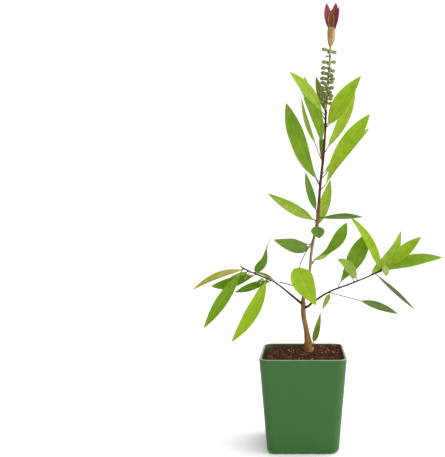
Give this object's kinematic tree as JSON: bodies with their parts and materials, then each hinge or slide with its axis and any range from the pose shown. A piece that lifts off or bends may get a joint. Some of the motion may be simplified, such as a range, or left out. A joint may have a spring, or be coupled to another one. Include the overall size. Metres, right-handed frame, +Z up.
{
  "type": "potted bottlebrush plant",
  "caption": "Young bottlebrush shrub in a square tapered plastic pot: one slender leading stem, side boughs, long narrow leaves, an upright spike of round buds and a tuft of red young leaves.",
  "frame": {"origin": "middle of the pot's flat underside, on the surface that it stands on", "axes": "+Z up, +X the plant's right, -Y its front"},
  "size_m": [0.2697, 0.1119, 0.4825],
  "materials": {
    "pot": "satin moulded",
    "potting_mix": "rough crumbly",
    "bark": "rough",
    "twig_bark": "rough",
    "leaf": "satin",
    "bud": "satin",
    "young_leaf": "satin"
  },
  "bodies": {
    "root": {"pot": "pot", "soil": "potting_mix", "trunk": "bark", "left_bough": "twig_bark", "right_bough": "twig_bark", "bare_twig": "twig_bark", "trunk_leaf_01": "leaf", "trunk_leaf_02": "leaf", "trunk_leaf_03": "leaf", "trunk_leaf_04": "leaf", "trunk_leaf_05": "leaf", "trunk_leaf_06": "leaf", "trunk_leaf_07": "leaf", "trunk_leaf_08": "leaf", "trunk_leaf_09": "leaf", "trunk_leaf_10": "leaf", "trunk_leaf_11": "leaf", "trunk_leaf_12": "leaf", "trunk_leaf_13": "leaf", "trunk_leaf_14": "leaf", "trunk_leaf_15": "leaf", "trunk_leaf_16": "leaf", "trunk_leaf_17": "leaf", "trunk_leaf_18": "leaf", "trunk_leaf_19": "leaf", "trunk_leaf_20": "leaf", "trunk_leaf_21": "leaf", "trunk_leaf_22": "leaf", "trunk_leaf_23": "leaf", "trunk_leaf_24": "leaf", "trunk_leaf_25": "leaf", "trunk_leaf_26": "leaf", "trunk_leaf_27": "leaf", "trunk_leaf_28": "leaf", "right_bough_leaf_01": "leaf", "right_bough_leaf_02": "leaf", "right_bough_leaf_03": "leaf", "right_bough_leaf_04": "leaf", "right_bough_leaf_05": "leaf", "left_spray": "leaf", "right_spray": "leaf", "bud_spike": "bud", "red_tuft": "young_leaf"}
  },
  "joints": []
}
